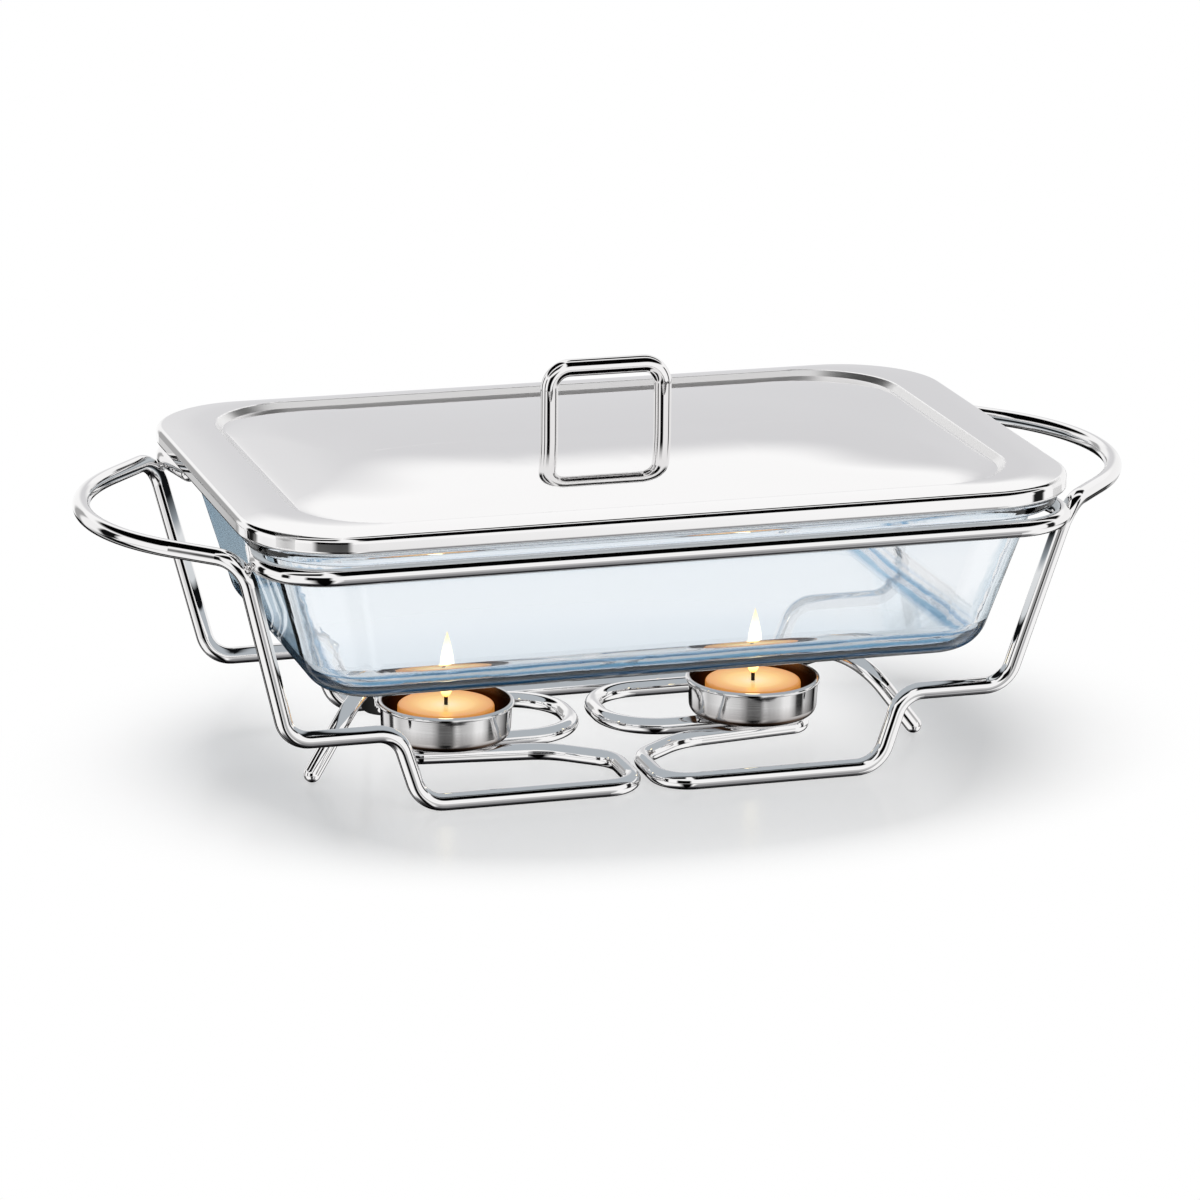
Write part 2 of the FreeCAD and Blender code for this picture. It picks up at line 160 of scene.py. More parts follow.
# A grey apron in front and to the right of the table, seen on the underside of the wires.
apron = add(tree, "ShaderNodeValToRGB", {"Fac": up}, stops=[
    (at(-62), "#ffffff"), (at(-56), "#8a8a8c"), (at(-46), "#8e8e90"), (at(-34), "#b0b0b2"),
    (at(-26), "#c4c4c4"), (at(-20), "#ffffff"),
])
apron_part = add(tree, "ShaderNodeValToRGB", {"Fac": heading}, stops=[
    (at(6), "#000000"), (at(12), "#ffffff"), (at(32), "#ffffff"), (at(42), "#000000"),
])
overhead = add(tree, "ShaderNodeMix", {
    "Factor": apron_part.outputs["Color"], colour_a: hung, colour_b: apron.outputs["Color"],
}, data_type="RGBA", blend_type="MULTIPLY")

# The flags stand in three rows. The upright wires see the lowest row where they lean most, and the
# edge of the lid sees the top one.
bottom_flags = add(tree, "ShaderNodeValToRGB", {"Fac": heading}, stops=[
    (at(-180), "#0c0c0c"), (at(-160), "#0c0c0c"), (at(-155), "#b0b0b0"), (at(-146), "#b0b0b0"),
    (at(-142), "#080808"), (at(-118), "#080808"), (at(-112), "#ffffff"), (at(-42), "#ffffff"),
    (at(-34), "#c8c8c8"), (at(-26), "#060606"), (at(-4), "#060606"), (at(4), "#ffffff"),
    (at(120), "#ffffff"), (at(126), "#303030"), (at(180), "#181818"),
])
middle_flags = add(tree, "ShaderNodeValToRGB", {"Fac": heading}, stops=[
    (at(-180), "#0c0c0c"), (at(-162), "#0c0c0c"), (at(-156), "#f0f0f0"), (at(-136), "#e0e0e0"),
    (at(-132), "#3a3a3a"), (at(-124), "#3a3a3a"), (at(-120), "#ffffff"), (at(-106), "#cccccc"),
    (at(-76), "#f4f4f4"), (at(-58), "#d8d8d8"), (at(-38), "#a8a8a8"), (at(-17), "#8c8c8c"),
    (at(2), "#a0a0a0"), (at(22), "#d0d0d0"), (at(38), "#ffffff"), (at(52), "#ffffff"),
    (at(64), "#b4b4b4"), (at(68), "#202020"), (at(82), "#202020"), (at(87), "#d8d8d8"),
    (at(100), "#b0b0b0"), (at(120), "#0c0c0c"), (at(126), "#0c0c0c"), (at(130), "#c8c8c8"),
    (at(148), "#c8c8c8"), (at(154), "#101010"), (at(180), "#0c0c0c"),
])
top_flags = add(tree, "ShaderNodeValToRGB", {"Fac": heading}, stops=[
    (at(-180), "#fafafa"), (at(-171), "#fafafa"), (at(-166), "#a8a8a8"), (at(-158), "#a8a8a8"),
    (at(-153), "#fafafa"), (at(-134), "#fafafa"), (at(-130), "#101010"), (at(-118), "#101010"),
    (at(-114), "#ffffff"), (at(-83), "#ffffff"), (at(-80), "#141414"), (at(-70), "#141414"),
    (at(-66), "#ffffff"), (at(-46), "#ffffff"), (at(-40), "#040404"), (at(-8), "#040404"),
    (at(-2), "#ffffff"), (at(64), "#ffffff"), (at(67), "#202020"), (at(80), "#202020"),
    (at(84), "#ffffff"), (at(148), "#f6f6f6"), (at(157), "#d6d6d8"), (at(168), "#d8d8da"),
    (at(177), "#fafafa"),
])
to_bottom = add(tree, "ShaderNodeMapRange", {"Value": ray.outputs["Z"], "From Min": -0.36, "From Max": -0.42})
to_middle = add(tree, "ShaderNodeMapRange", {"Value": ray.outputs["Z"], "From Min": -0.26, "From Max": -0.285})
lower_rows = add(tree, "ShaderNodeMix", {
    "Factor": to_bottom.outputs["Result"],
    colour_a: middle_flags.outputs["Color"], colour_b: bottom_flags.outputs["Color"],
}, data_type="RGBA")
flags = add(tree, "ShaderNodeMix", {
    "Factor": to_middle.outputs["Result"],
    colour_a: top_flags.outputs["Color"], colour_b: lower_rows.outputs[colour_out],
}, data_type="RGBA")
flag_height = add(tree, "ShaderNodeMapRange", {
    "Value": ray.outputs["Z"], "From Min": 0.29, "From Max": 0.37, "To Min": 1.0, "To Max": 0.0,
}, interpolation_type="SMOOTHSTEP")
seen_by_metal = add(tree, "ShaderNodeMix", {
    "Factor": flag_height.outputs["Result"],
    colour_a: overhead.outputs[colour_out], colour_b: flags.outputs[colour_out],
}, data_type="RGBA", blend_type="MULTIPLY")

# Glass sees white with one blue card overhead, which tints the light that bounces inside its walls.
seen_by_glass = add(tree, "ShaderNodeValToRGB", {"Fac": up}, stops=[
    (at(-90), "#ffffff"), (at(30), "#ffffff"), (at(50), "#6f9fc2"), (at(125), "#5f92b8"),
    (at(145), "#ffffff"), (at(180), "#ffffff"),
])
path = add(tree, "ShaderNodeLightPath")
even = add(tree, "ShaderNodeBackground", {"Color": "#ffffff", "Strength": 0.62})
white = add(tree, "ShaderNodeBackground", {"Color": "#ffffff", "Strength": 1.0})
bars_and_flags = add(tree, "ShaderNodeBackground", {"Color": seen_by_metal.outputs[colour_out], "Strength": 1.1})
blue_card = add(tree, "ShaderNodeBackground", {"Color": seen_by_glass.outputs["Color"], "Strength": 1.05})
in_glass = add(tree, "ShaderNodeMath", {0: path.outputs["Transmission Depth"], 1: 0.5}, operation="GREATER_THAN")
outside_glass = add(tree, "ShaderNodeMixShader", {
    0: path.outputs["Is Glossy Ray"], 1: even.outputs[0], 2: bars_and_flags.outputs[0],
})
indirect = add(tree, "ShaderNodeMixShader", {
    0: in_glass.outputs[0], 1: outside_glass.outputs[0], 2: blue_card.outputs[0],
})
seen = add(tree, "ShaderNodeMixShader", {
    0: path.outputs["Is Camera Ray"], 1: indirect.outputs[0], 2: white.outputs[0],
})
add(tree, "ShaderNodeOutputWorld", {"Surface": seen.outputs[0]})

lamp_target = Vector((0, 0, 0.05))    # the middle of the dish
lamp_size = 1.2
lamps = [
    # name, place, power in watts
    ("overhead_softbox", (-0.2, 0.55, 1.5), 13.0),
    ("front_fill", (0.6, -1.7, 1.2), 5.0),
]
for name, place, power in lamps:
    lamp = bpy.data.objects.new(name, bpy.data.lights.new(name, "AREA"))
    bpy.context.scene.collection.objects.link(lamp)
    lamp.data.shape = "DISK"
    lamp.data.size = lamp_size
    lamp.data.energy = power
    lamp.location = place
    lamp.rotation_euler = (Vector(place) - lamp_target).to_track_quat("Z", "Y").to_euler()
    lamp.visible_camera = False
    lamp.visible_glossy = False
    lamp.visible_transmission = False


# The floor: matt white background paper. A white glow is painted on it all round, so that only the soft
# shadow that the lamps cast of the food warmer is left on it. Through the dish it is painted faintly grey and
# blue.
def start_material(name):
    """A material with an empty tree."""
    made = bpy.data.materials.new(name)
    made.use_nodes = True
    made.node_tree.nodes.clear()
    return made, made.node_tree


floor_size = 12
# Where the glow is painted: it leaves the lamps' shadow whole in the middle, paints the paper white again further
# out in an oval, and paints over much of the shadow seen through the dish.
shadow_core = 0.12        # inside this radius the shadow is whole
shadow_end = 0.245        # and here the paper is white again
shadow_squeeze = 1.35     # the shadow is this much shorter from front to back
painted_lit_under_glass = 0.72    # seen through the dish, the paper is at least this much burnt out

bpy.ops.mesh.primitive_plane_add(size=floor_size)
floor = bpy.context.object
floor.name = "floor"
paper, tree = start_material("matt_white_paper_painted_glow")
path = add(tree, "ShaderNodeLightPath")
spot = add(tree, "ShaderNodeTexCoord").outputs["Object"]
place = add(tree, "ShaderNodeSeparateXYZ", {0: spot})
oval = add(tree, "ShaderNodeMapping", {"Vector": spot, "Scale": (1.0, shadow_squeeze, 1.0)})
reach = add(tree, "ShaderNodeVectorMath", {0: oval.outputs[0]}, operation="LENGTH")
past_shadow = add(tree, "ShaderNodeMapRange", {
    "Value": reach.outputs["Value"], "From Min": shadow_core, "From Max": shadow_end,
}, interpolation_type="SMOOTHSTEP")
# Painted light: inside the shadow, the paper is painted lighter behind and under the middle of the dish.
painted_light_behind = add(tree, "ShaderNodeMapRange", {
    "Value": place.outputs["Y"], "From Min": -0.08, "From Max": 0.03, "To Min": 0.5, "To Max": 0.8,
}, interpolation_type="SMOOTHSTEP")
aside = add(tree, "ShaderNodeMath", {0: place.outputs["X"]}, operation="ABSOLUTE")
painted_light_under_middle = add(tree, "ShaderNodeMapRange", {
    "Value": aside.outputs[0], "From Min": 0.09, "From Max": 0.15, "To Min": 1.0, "To Max": 0.25,
}, interpolation_type="SMOOTHSTEP")
painted_light_in_shadow = add(tree, "ShaderNodeMath", {
    0: painted_light_behind.outputs["Result"], 1: painted_light_under_middle.outputs["Result"],
}, operation="MULTIPLY")
open_floor = add(tree, "ShaderNodeMath", {
    0: past_shadow.outputs["Result"], 1: painted_light_in_shadow.outputs[0],
}, operation="MAXIMUM")
under_glass = add(tree, "ShaderNodeMath", {
    0: path.outputs["Is Transmission Ray"], 1: painted_lit_under_glass,
}, operation="MULTIPLY")
painted_lit_share = add(tree, "ShaderNodeMath", {0: open_floor.outputs[0], 1: under_glass.outputs[0]}, operation="MAXIMUM")
# Painted light: where the camera or a ray through the dish looks, this share of the paper is a painted glow laid
# over its real shading.
looked_at = add(tree, "ShaderNodeMath", {
    0: path.outputs["Is Camera Ray"], 1: path.outputs["Is Transmission Ray"],
}, operation="MAXIMUM")
painted_white_share = add(tree, "ShaderNodeMath", {0: painted_lit_share.outputs[0], 1: looked_at.outputs[0]}, operation="MULTIPLY")
# Painted shade: seen through the dish, the glow is faintly grey near the dish, white, and faintly blue far behind
# it.
far_back = add(tree, "ShaderNodeMapRange", {"Value": place.outputs["Y"], "From Min": 0.1, "From Max": 0.34})
painted_tone_through_dish = add(tree, "ShaderNodeValToRGB", {"Fac": far_back.outputs["Result"]}, stops=[
    (0.0, "#e6ecef"), (0.22, "#ffffff"), (0.5, "#ffffff"), (0.8, "#eef3f7"), (1.0, "#e6edf3"),
])
tone = add(tree, "ShaderNodeMix", {
    "Factor": path.outputs["Is Transmission Ray"], colour_a: "#ffffff", colour_b: painted_tone_through_dish.outputs["Color"],
}, data_type="RGBA")
surface = add(tree, "ShaderNodeBsdfPrincipled", {
    "Base Color": "#f6f6f6", "Roughness": 0.2, "Specular IOR Level": 0.2,
})
glow = add(tree, "ShaderNodeEmission", {"Color": tone.outputs[colour_out], "Strength": 1.0})
whole = add(tree, "ShaderNodeMixShader", {0: painted_white_share.outputs[0], 1: surface.outputs[0], 2: glow.outputs[0]})
# Chrome looks past the paper to the studio below. A ray through glass counts as glossy too, and is taken off.
open_air = add(tree, "ShaderNodeBsdfTransparent")
from_chrome = add(tree, "ShaderNodeMath", {
    0: path.outputs["Is Glossy Ray"], 1: path.outputs["Is Transmission Ray"],
}, operation="SUBTRACT")
split = add(tree, "ShaderNodeMixShader", {0: from_chrome.outputs[0], 1: whole.outputs[0], 2: open_air.outputs[0]})
add(tree, "ShaderNodeOutputMaterial", {"Surface": split.outputs[0]})
floor.data.materials.append(paper)


# The wire rack: mild steel wire 6.6 mm thick, bent cold on a former and spot welded. After welding the
# whole rack is polished and chromed in one piece, so the plate covers wires and welds alike.
# Chrome plate is a cool and almost perfect mirror. Only a faint haze and the slow waves of the polishing
# wheel keep its lines from looking drawn: both are patches of about 10 mm.
chrome, tree = start_material("bright_chrome_plate")
spot = add(tree, "ShaderNodeTexCoord").outputs["Object"]
haze = add(tree, "ShaderNodeTexNoise", {"Vector": spot, "Scale": 90.0, "Detail": 3.0})
dull = add(tree, "ShaderNodeMapRange", {
    "Value": haze.outputs["Fac"], "From Min": 0.35, "From Max": 0.7, "To Min": 0.01, "To Max": 0.03,
})
wave = add(tree, "ShaderNodeTexNoise", {"Vector": spot, "Scale": 120.0, "Detail": 1.0})
relief = add(tree, "ShaderNodeBump", {"Height": wave.outputs["Fac"], "Strength": 0.015, "Distance": 0.001})
surface = add(tree, "ShaderNodeBsdfPrincipled", {
    "Base Color": "#e9e8e8", "Metallic": 1.0, "Roughness": dull.outputs["Result"],
    "Normal": relief.outputs["Normal"],
})
add(tree, "ShaderNodeOutputMaterial", {"Surface": surface.outputs[0]})
rack_wires = ["front_rail", "rear_rail", "rear_stand_wire"]
for side in ("left", "right"):
    rack_wires += [side + "_handle_loop", side + "_front_stand_wire"]
for name in rack_wires:
    nodes[name].material_slots[0].material = chrome

# Welds, plated over with the rest: one small lumpy bead where each rail lies against a loop.
bead_radius = 0.0018
bead_x, bead_y, bead_z = 0.158, 0.0757, 0.103
bead_lumps = 0.08    # as a share of the radius
for side, sign in (("left", -1), ("right", 1)):
    for end, towards in (("front", -1), ("rear", 1)):
        bpy.ops.object.select_all(action="DESELECT")
        bpy.ops.mesh.primitive_ico_sphere_add(subdivisions=3, radius=bead_radius, location=(0, 0, 0))
        bead = bpy.context.object
        bead.name = side + "_" + end + "_rail_weld"
        for v in bead.data.vertices:
            lump = 1 + bead_lumps * math.sin(1900 * v.co.x + 3 * sign) * math.cos(2300 * v.co.y + 900 * v.co.z)
            v.co = v.co * lump + Vector((bead_x * sign, bead_y * towards, bead_z))
        bpy.ops.object.shade_smooth()
        bead.data.materials.append(chrome)
        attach(bead, "rack")


# Candle cups: round cups drawn from 0.7 mm steel sheet, with the rim rolled over, and welded to the
# stand wires by their bottoms. They are polished outside, and browned inside by the heat of the candle.
# The die leaves level lines round the wall. They are drawn here 0.7 mm apart, coarser than the real
# ones, so that they show.
polished_steel = "#dddcdc"
browned_steel = "#4a3424"
polished_roughness = 0.07
browned_roughness = 0.3
rolled_rim = 0.0012      # the brown starts this far in from the outside
brown_all_over = 0.0018
cup_bottom = 0.0006      # the polished underside of the bottom


def die_lines(tree, spot):
    """The level lines of a drawing die, as a relief."""
    rings = add(tree, "ShaderNodeMapping", {"Vector": spot, "Scale": (40.0, 40.0, 1500.0)})
    lines = add(tree, "ShaderNodeTexNoise", {"Vector": rings.outputs[0], "Scale": 1.0, "Detail": 3.0})
    return add(tree, "ShaderNodeBump", {"Height": lines.outputs["Fac"], "Strength": 0.012, "Distance": 0.0005})


for side in ("left", "right"):
    low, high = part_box(side + "_candle_cup")
    centre = (low + high) / 2
    radius = (high.x - low.x) / 2
    tinted, tree = start_material(side + "_heat_tinted_steel")
    spot = add(tree, "ShaderNodeTexCoord").outputs["Object"]
    middle = add(tree, "ShaderNodeMapping", {
        "Vector": spot, "Location": (-centre.x, -centre.y, 0.0), "Scale": (1.0, 1.0, 0.0),
    })
    reach = add(tree, "ShaderNodeVectorMath", {0: middle.outputs[0]}, operation="LENGTH")
    inside = add(tree, "ShaderNodeMapRange", {
        "Value": reach.outputs["Value"], "From Min": radius - brown_all_over, "From Max": radius - rolled_rim,
        "To Min": 1.0, "To Max": 0.0,
    })
    place = add(tree, "ShaderNodeSeparateXYZ", {0: spot})
    above = add(tree, "ShaderNodeMath", {0: place.outputs["Z"], 1: low.z + cup_bottom}, operation="GREATER_THAN")
    stain = add(tree, "ShaderNodeMath", {0: inside.outputs["Result"], 1: above.outputs[0]}, operation="MULTIPLY")
    tint = add(tree, "ShaderNodeMix", {
        "Factor": stain.outputs[0], colour_a: polished_steel, colour_b: browned_steel,
    }, data_type="RGBA")
    dull = add(tree, "ShaderNodeMapRange", {
        "Value": stain.outputs[0], "To Min": polished_roughness, "To Max": browned_roughness,
    })
    surface = add(tree, "ShaderNodeBsdfPrincipled", {
        "Base Color": tint.outputs[colour_out], "Metallic": 1.0, "Roughness": dull.outputs["Result"],
        "Normal": die_lines(tree, spot).outputs["Normal"],
    })
    add(tree, "ShaderNodeOutputMaterial", {"Surface": surface.outputs[0]})
    nodes[side + "_candle_cup"].material_slots[0].material = tinted


# Candles: a puck of paraffin wax, pressed, that stands loose in its cup, with a cotton wick crimped into
# a tinplate holder under it. The flame's light in the wax is painted on it as colour and glow: palest and
# brightest round the wick, and deep amber at the rim.
for side in ("left", "right"):
    low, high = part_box(side + "_candle_wax")
    centre = (low + high) / 2
    radius = (high.x - low.x) / 2
    wax, tree = start_material(side + "_paraffin_wax_painted_flame_glow")
    spot = add(tree, "ShaderNodeTexCoord").outputs["Object"]
    middle = add(tree, "ShaderNodeMapping", {"Vector": spot, "Location": (-centre.x, -centre.y, -high.z)})
    reach = add(tree, "ShaderNodeVectorMath", {0: middle.outputs[0]}, operation="LENGTH")
    out = add(tree, "ShaderNodeMapRange", {"Value": reach.outputs["Value"], "From Min": 0.0, "From Max": radius})
    # Painted light: the flame's glow in the wax, a colour from the wick out to the rim that is also given off as
    # emission.
    tint = add(tree, "ShaderNodeValToRGB", {"Fac": out.outputs["Result"]}, stops=[
        (0.0, "#fff2c4"), (0.35, "#ffdc94"), (0.7, "#fabb66"), (1.0, "#ea9a48"),
    ])
    surface = add(tree, "ShaderNodeBsdfPrincipled", {
        "Base Color": tint.outputs["Color"], "Roughness": 0.3, "Subsurface Weight": 0.3, "Subsurface Scale": 0.004,
        "Emission Color": tint.outputs["Color"], "Emission Strength": 0.55,
    })
    add(tree, "ShaderNodeOutputMaterial", {"Surface": surface.outputs[0]})
    nodes[side + "_candle_wax"].material_slots[0].material = wax

# Burnt cotton: black, with brown left in the 0.7 mm plaits.
char, tree = start_material("charred_cotton")
spot = add(tree, "ShaderNodeTexCoord").outputs["Object"]
weave = add(tree, "ShaderNodeTexNoise", {"Vector": spot, "Scale": 1500.0, "Detail": 2.0})
tint = add(tree, "ShaderNodeValToRGB", {"Fac": weave.outputs["Fac"]}, stops=[(0.3, "#0c0907"), (0.7, "#2c211a")])
surface = add(tree, "ShaderNodeBsdfPrincipled", {"Base Color": tint.outputs["Color"], "Roughness": 0.95})
add(tree, "ShaderNodeOutputMaterial", {"Surface": surface.outputs[0]})

# Tinplate: a dull grey mirror, patched by the crystals of the tin, 1.7 mm across.
tin, tree = start_material("dull_tinplate")
spot = add(tree, "ShaderNodeTexCoord").outputs["Object"]
spangle = add(tree, "ShaderNodeTexNoise", {"Vector": spot, "Scale": 600.0})
dull = add(tree, "ShaderNodeMapRange", {"Value": spangle.outputs["Fac"], "To Min": 0.25, "To Max": 0.5})
surface = add(tree, "ShaderNodeBsdfPrincipled", {
    "Base Color": "#c4c4c2", "Metallic": 1.0, "Roughness": dull.outputs["Result"],
})
add(tree, "ShaderNodeOutputMaterial", {"Surface": surface.outputs[0]})
for side in ("left", "right"):
    nodes[side + "_candle_wick"].material_slots[0].material = char
    nodes[side + "_wick_holder"].material_slots[0].material = tin


# Flames: a teardrop of burning wax vapour over each wick, with a white heart and a clear edge.
# Each rides on its candle.
flame_height = 0.0225
flame_radius = 0.0031
flame_belly = 1.25       # the foot is this much wider than the ball that the flame is made from
flame_taper = 0.55       # less than 1 keeps the sides full before they close at the tip
wick_in_flame = 0.002
for side in ("left", "right"):
    low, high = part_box(side + "_candle_wick")
    foot = Vector(((low.x + high.x) / 2, (low.y + high.y) / 2, high.z - wick_in_flame))
    bpy.ops.object.select_all(action="DESELECT")
    bpy.ops.mesh.primitive_uv_sphere_add(segments=32, ring_count=24, radius=1.0, location=(0, 0, 0))
    flame = bpy.context.object
    flame.name = side + "_flame"
    for v in flame.data.vertices:
        rise = (v.co.z + 1) / 2
        slim = (1 - rise) ** flame_taper * flame_belly
        v.co = Vector((v.co.x * flame_radius * slim, v.co.y * flame_radius * slim, rise * flame_height)) + foot
    bpy.ops.object.shade_smooth()
    fire, tree = start_material(side + "_candle_flame")
    place = add(tree, "ShaderNodeSeparateXYZ", {0: add(tree, "ShaderNodeTexCoord").outputs["Object"]})
    rise = add(tree, "ShaderNodeMapRange", {
        "Value": place.outputs["Z"], "From Min": foot.z, "From Max": foot.z + flame_height,
    })
    tint = add(tree, "ShaderNodeValToRGB", {"Fac": rise.outputs["Result"]}, stops=[
        (0.0, "#ff9a3c"), (0.15, "#ffd98a"), (0.35, "#fffbe6"), (0.75, "#fff0b0"), (1.0, "#ffb84a"),
    ])
    light = add(tree, "ShaderNodeEmission", {"Color": tint.outputs["Color"], "Strength": 3.0})
    edge = add(tree, "ShaderNodeLayerWeight", {"Blend": 0.5})
    thin = add(tree, "ShaderNodeMapRange", {
        "Value": edge.outputs["Facing"], "From Min": 0.45, "From Max": 1.0, "To Max": 0.9,
    })
    clear = add(tree, "ShaderNodeBsdfTransparent")
    body = add(tree, "ShaderNodeMixShader", {0: thin.outputs["Result"], 1: light.outputs[0], 2: clear.outputs[0]})
    add(tree, "ShaderNodeOutputMaterial", {"Surface": body.outputs[0]})
    flame.data.materials.append(fire)
    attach(flame, side + "_candle")
    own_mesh(flame)


# The dish: soda-lime glass, pressed in a mould in one piece with its flange, and hung by the flange
# between the rails. Iron in the glass gives it a blue cast where the eye looks through much of it:
# along the edges, and in the thick heel where the walls meet the floor.
low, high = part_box("glass_dish")
floor_half_length = 0.121
floor_half_width = 0.069
floor_fade = 0.002
heel_height = 0.0085
heel_fade = 0.005
heel_haze = 0.25         # how much of the heel is cloudy with blue
wall_haze = 0.18         # and of a wall that is seen edge on
ripple_height = 0.003    # the mould's ripples bend the heel's bands by this much
glass, tree = start_material("pressed_clear_glass")
path = add(tree, "ShaderNodeLightPath")
facing = add(tree, "ShaderNodeLayerWeight", {"Blend": 0.35})
cast = add(tree, "ShaderNodeValToRGB", {"Fac": facing.outputs["Facing"]}, stops=[
    (0.0, "#ffffff"), (0.45, "#fdfeff"), (0.62, "#eaf4fa"), (0.76, "#b2d5eb"), (0.88, "#7fb6da"), (1.0, "#4a95c6"),
])
spot = add(tree, "ShaderNodeTexCoord").outputs["Object"]
place = add(tree, "ShaderNodeSeparateXYZ", {0: spot})
across = add(tree, "ShaderNodeMath", {0: place.outputs["X"]}, operation="ABSOLUTE")
along = add(tree, "ShaderNodeMath", {0: place.outputs["Y"]}, operation="ABSOLUTE")
past_end = add(tree, "ShaderNodeMath", {0: across.outputs[0], 1: floor_half_length}, operation="SUBTRACT")
past_side = add(tree, "ShaderNodeMath", {0: along.outputs[0], 1: floor_half_width}, operation="SUBTRACT")
past = add(tree, "ShaderNodeMath", {0: past_end.outputs[0], 1: past_side.outputs[0]}, operation="MAXIMUM")
off_floor = add(tree, "ShaderNodeMapRange", {
    "Value": past.outputs[0], "From Min": -floor_fade, "From Max": floor_fade,
})
heel = add(tree, "ShaderNodeMapRange", {
    "Value": place.outputs["Z"], "From Min": low.z + heel_height, "From Max": low.z + heel_height - heel_fade,
})
thick = add(tree, "ShaderNodeMath", {
    0: off_floor.outputs["Result"], 1: heel.outputs["Result"],
}, operation="MULTIPLY")
edge = add(tree, "ShaderNodeMapRange", {
    "Value": facing.outputs["Facing"], "From Min": 0.55, "From Max": 0.95, "To Max": wall_haze,
})
cloud = add(tree, "ShaderNodeMath", {0: thick.outputs[0], 1: heel_haze}, operation="MULTIPLY")
haze = add(tree, "ShaderNodeMath", {0: edge.outputs["Result"], 1: cloud.outputs[0]}, operation="MAXIMUM")
passes = add(tree, "ShaderNodeMath", {0: 1.0, 1: haze.outputs[0]}, operation="SUBTRACT")
# Bands of blue and white go round the heel, bent by ripples about 38 mm long.
ripple = add(tree, "ShaderNodeTexNoise", {"Vector": spot, "Scale": 26.0, "Detail": 2.0})
bent = add(tree, "ShaderNodeMath", {
    0: ripple.outputs["Fac"], 1: ripple_height, 2: place.outputs["Z"],
}, operation="MULTIPLY_ADD")
up_heel = add(tree, "ShaderNodeMapRange", {
    "Value": bent.outputs[0],
    "From Min": low.z + ripple_height / 2, "From Max": low.z + heel_height + ripple_height / 2,
})
# Painted reflections: the white bands and the darkest blue ones stand for the heel's highlight lines and
# refractions; the lighter blue is partly the tint of the thick glass.
bands = add(tree, "ShaderNodeValToRGB", {"Fac": up_heel.outputs["Result"]}, stops=[
    (0.0, "#4f9bcf"), (0.12, "#6cb2e0"), (0.2, "#ffffff"), (0.34, "#ffffff"), (0.42, "#3f95d0"),
    (0.52, "#2a80bd"), (0.58, "#7cc0ea"), (0.66, "#ffffff"), (0.76, "#ffffff"), (0.86, "#4aa0da"),
    (1.0, "#7fc2ea"),
])
blue = add(tree, "ShaderNodeMix", {
    "Factor": thick.outputs[0], colour_a: cast.outputs["Color"], colour_b: bands.outputs["Color"],
}, data_type="RGBA")
surface = add(tree, "ShaderNodeBsdfPrincipled", {
    "Base Color": blue.outputs[colour_out], "Roughness": 0.0, "IOR": 1.5, "Transmission Weight": passes.outputs[0],
})
# Mirrored in chrome, the dish is too small and bent to be made out, and leaves grain. A glow in bands up
# its height stands in for it there.
up_wall = add(tree, "ShaderNodeMapRange", {"Value": place.outputs["Z"], "From Min": low.z, "From Max": high.z})
mirrored = add(tree, "ShaderNodeValToRGB", {"Fac": up_wall.outputs["Result"]}, stops=[
    (0.0, "#bcc3c9"), (0.02, "#101214"), (0.12, "#101214"), (0.18, "#e2e7ea"), (0.45, "#f0f3f5"),
    (0.55, "#9aa2a8"), (0.7, "#15181a"), (0.88, "#101214"), (0.94, "#c6ccd0"),
])
in_chrome = add(tree, "ShaderNodeEmission", {"Color": mirrored.outputs["Color"], "Strength": 1.0})
outdoors = add(tree, "ShaderNodeMath", {0: path.outputs["Transmission Depth"], 1: 0.5}, operation="LESS_THAN")
from_chrome = add(tree, "ShaderNodeMath", {
    0: path.outputs["Is Glossy Ray"], 1: outdoors.outputs[0],
}, operation="MULTIPLY")
seen = add(tree, "ShaderNodeMixShader", {
    0: from_chrome.outputs[0], 1: surface.outputs[0], 2: in_chrome.outputs[0],
})
# Light passes through clear glass, so its shadow is only a faint blue.
clear = add(tree, "ShaderNodeBsdfTransparent", {"Color": "#e4eef6"})
whole = add(tree, "ShaderNodeMixShader", {
    0: path.outputs["Is Shadow Ray"], 1: seen.outputs[0], 2: clear.outputs[0],
})
depth = add(tree, "ShaderNodeVolumeAbsorption", {"Color": "#5c9ccc", "Density": 5.0})
add(tree, "ShaderNodeOutputMaterial", {"Surface": whole.outputs[0], "Volume": depth.outputs[0]})
nodes["glass_dish"].material_slots[0].material = glass


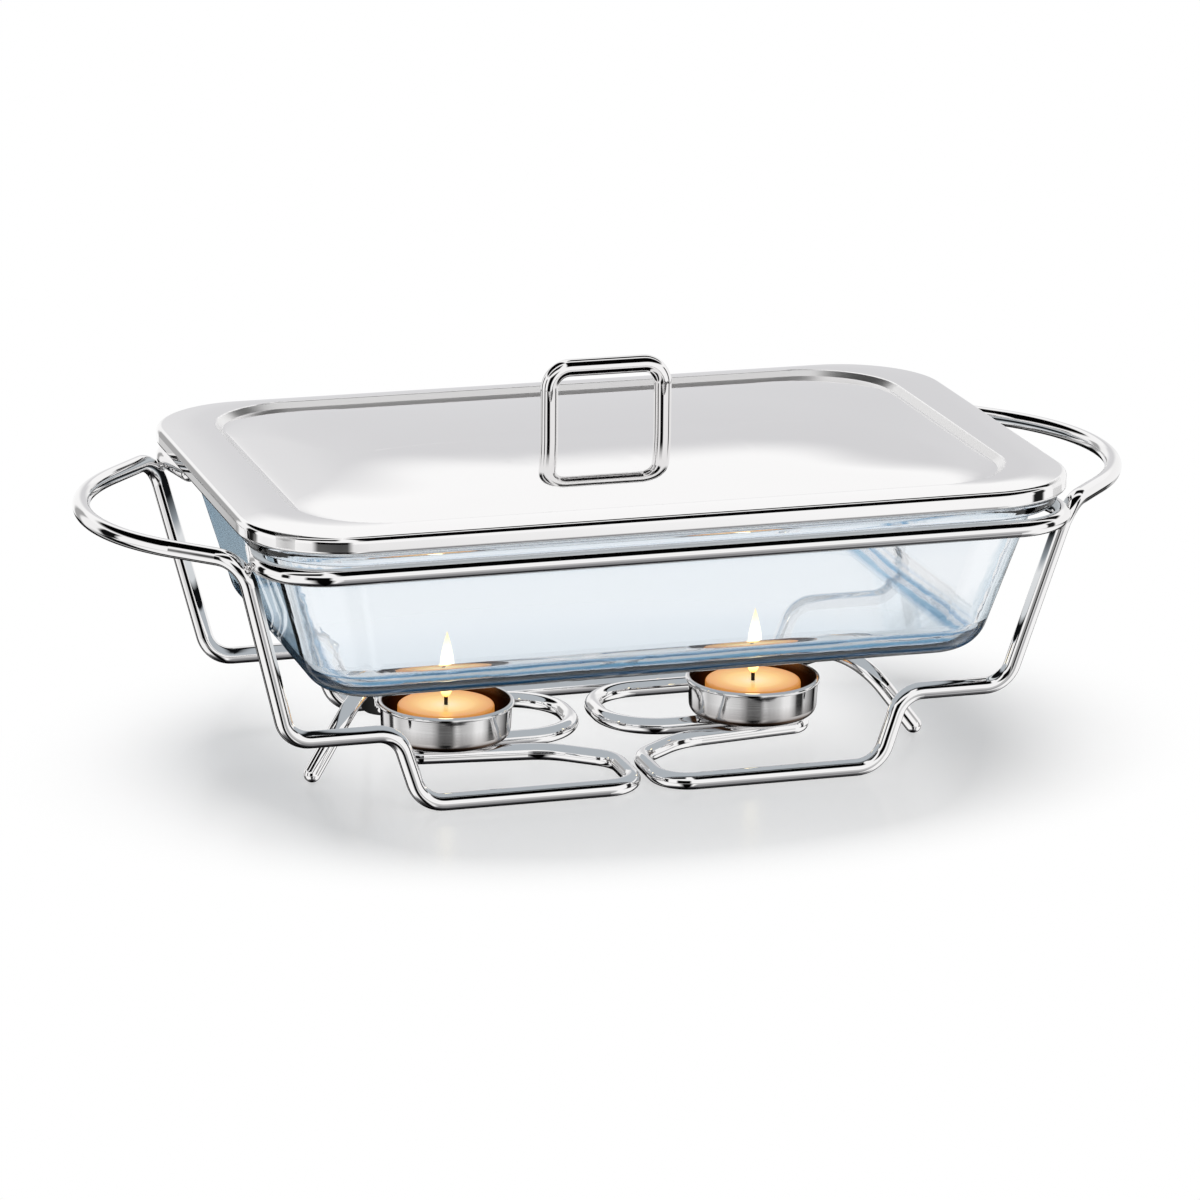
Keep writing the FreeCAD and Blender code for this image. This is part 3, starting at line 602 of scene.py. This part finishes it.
# The lid: stainless sheet 0.8 mm thick, pressed in one stroke with its skirt, sunk ring and crowned
# panel, and polished to a mirror. A chromed rod handle is held through it by two screws and washers.
# The wheel polishes the level faces best: the steep walls of the ring stay softer, and slow patches of
# haze, 70 mm across, show where it went over.
border_inside = 0.009    # the ring starts this far in from the skirt
ring_roughness = 0.28
low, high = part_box("lid")
mirror, tree = start_material("mirror_polished_stainless")
spot = add(tree, "ShaderNodeTexCoord").outputs["Object"]
haze = add(tree, "ShaderNodeTexNoise", {"Vector": spot, "Scale": 14.0, "Detail": 2.0})
dull = add(tree, "ShaderNodeMapRange", {
    "Value": haze.outputs["Fac"], "From Min": 0.3, "From Max": 0.7, "To Min": 0.02, "To Max": 0.045,
})
place = add(tree, "ShaderNodeSeparateXYZ", {0: spot})
across = add(tree, "ShaderNodeMath", {0: place.outputs["X"]}, operation="ABSOLUTE")
along = add(tree, "ShaderNodeMath", {0: place.outputs["Y"]}, operation="ABSOLUTE")
from_end = add(tree, "ShaderNodeMath", {0: high.x, 1: across.outputs[0]}, operation="SUBTRACT")
from_side = add(tree, "ShaderNodeMath", {0: high.y, 1: along.outputs[0]}, operation="SUBTRACT")
inward = add(tree, "ShaderNodeMath", {0: from_end.outputs[0], 1: from_side.outputs[0]}, operation="MINIMUM")
pressed = add(tree, "ShaderNodeMath", {0: inward.outputs[0], 1: border_inside}, operation="GREATER_THAN")
face = add(tree, "ShaderNodeSeparateXYZ", {0: add(tree, "ShaderNodeNewGeometry").outputs["Normal"]})
steep = add(tree, "ShaderNodeMapRange", {
    "Value": face.outputs["Z"], "From Min": 0.985, "From Max": 0.95, "To Max": ring_roughness,
})
ring = add(tree, "ShaderNodeMath", {0: steep.outputs["Result"], 1: pressed.outputs[0]}, operation="MULTIPLY")
rough = add(tree, "ShaderNodeMath", {0: dull.outputs["Result"], 1: ring.outputs[0]}, operation="MAXIMUM")
surface = add(tree, "ShaderNodeBsdfPrincipled", {
    "Base Color": "#ecebeb", "Metallic": 1.0, "Roughness": rough.outputs[0],
})
add(tree, "ShaderNodeOutputMaterial", {"Surface": surface.outputs[0]})
nodes["lid"].material_slots[0].material = mirror
nodes["lid_handle"].material_slots[0].material = chrome

# The screws and washers are bright steel with the same fine lines as the cups.
drawn, tree = start_material("polished_drawn_steel")
spot = add(tree, "ShaderNodeTexCoord").outputs["Object"]
surface = add(tree, "ShaderNodeBsdfPrincipled", {
    "Base Color": polished_steel, "Metallic": 1.0, "Roughness": polished_roughness,
    "Normal": die_lines(tree, spot).outputs["Normal"],
})
add(tree, "ShaderNodeOutputMaterial", {"Surface": surface.outputs[0]})
nodes["lid_handle_screws"].material_slots[0].material = drawn
nodes["lid_handle_washers"].material_slots[0].material = drawn

bpy.context.view_layer.update()
